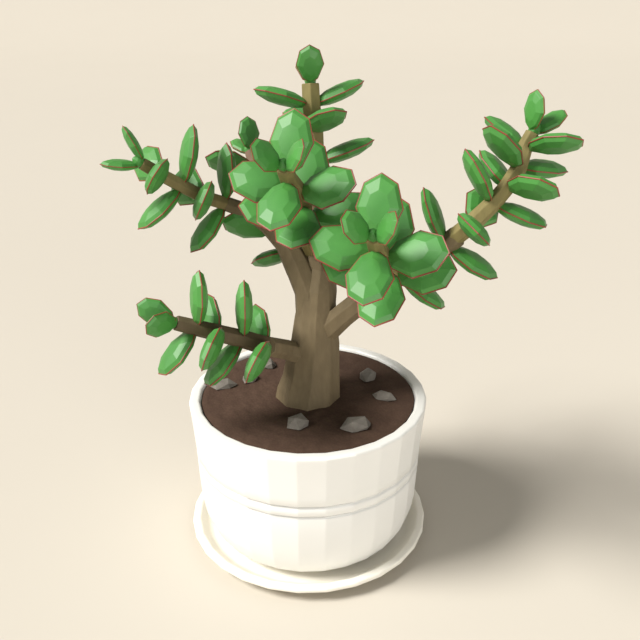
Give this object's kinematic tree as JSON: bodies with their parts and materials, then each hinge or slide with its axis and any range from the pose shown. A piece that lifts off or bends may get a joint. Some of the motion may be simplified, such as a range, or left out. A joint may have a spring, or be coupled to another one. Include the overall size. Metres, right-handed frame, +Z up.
{
  "type": "potted jade bonsai",
  "caption": "Jade bonsai with fleshy faceted leaves in opposite pairs, a thick woody trunk and limbs, in a round grooved pot of soil on a shallow saucer.",
  "frame": {"origin": "centre of the saucer's flat underside, on the axis of the pot and the saucer", "axes": "+Z up; -Y is the front, where the picture was taken from; +X is the right-hand side seen from there"},
  "size_m": [0.2373, 0.1884, 0.2868],
  "materials": {
    "leaf": "satin",
    "bark": "matte",
    "soil": "matte",
    "stone": "matte",
    "glaze": "satin"
  },
  "bodies": {
    "root": {"leaves_back_left_1": "leaf", "leaves_back_left_2": "leaf", "leaves_back_left_6": "leaf", "leaves_back_left_7": "leaf", "leaves_crown_1": "leaf", "leaves_crown_2": "leaf", "leaves_crown_3": "leaf", "leaves_crown_4": "leaf", "leaves_front_1": "leaf", "leaves_front_2": "leaf", "leaves_front_3": "leaf", "leaves_front_4": "leaf", "leaves_front_5": "leaf", "leaves_front_right_1": "leaf", "leaves_front_right_2": "leaf", "leaves_front_right_3": "leaf", "leaves_front_right_4": "leaf", "leaves_front_right_5": "leaf", "leaves_lower_left_1": "leaf", "leaves_lower_left_2": "leaf", "leaves_lower_left_3": "leaf", "leaves_lower_left_4": "leaf", "leaves_lower_left_5": "leaf", "leaves_right_1": "leaf", "leaves_right_2": "leaf", "leaves_right_3": "leaf", "leaves_right_4": "leaf", "leaves_right_5": "leaf", "leaves_right_6": "leaf", "leaves_right_7": "leaf", "leaves_right_9": "leaf", "leaves_upper_left_1": "leaf", "leaves_upper_left_2": "leaf", "leaves_upper_left_3": "leaf", "leaves_upper_left_4": "leaf", "leaves_upper_left_5": "leaf", "pot": "glaze", "saucer": "glaze", "soil": "soil", "stone_1": "stone", "stone_2": "stone", "stone_3": "stone", "stone_4": "stone", "stone_5": "stone", "stone_6": "stone", "stone_7": "stone", "trunk": "bark"}
  },
  "joints": []
}
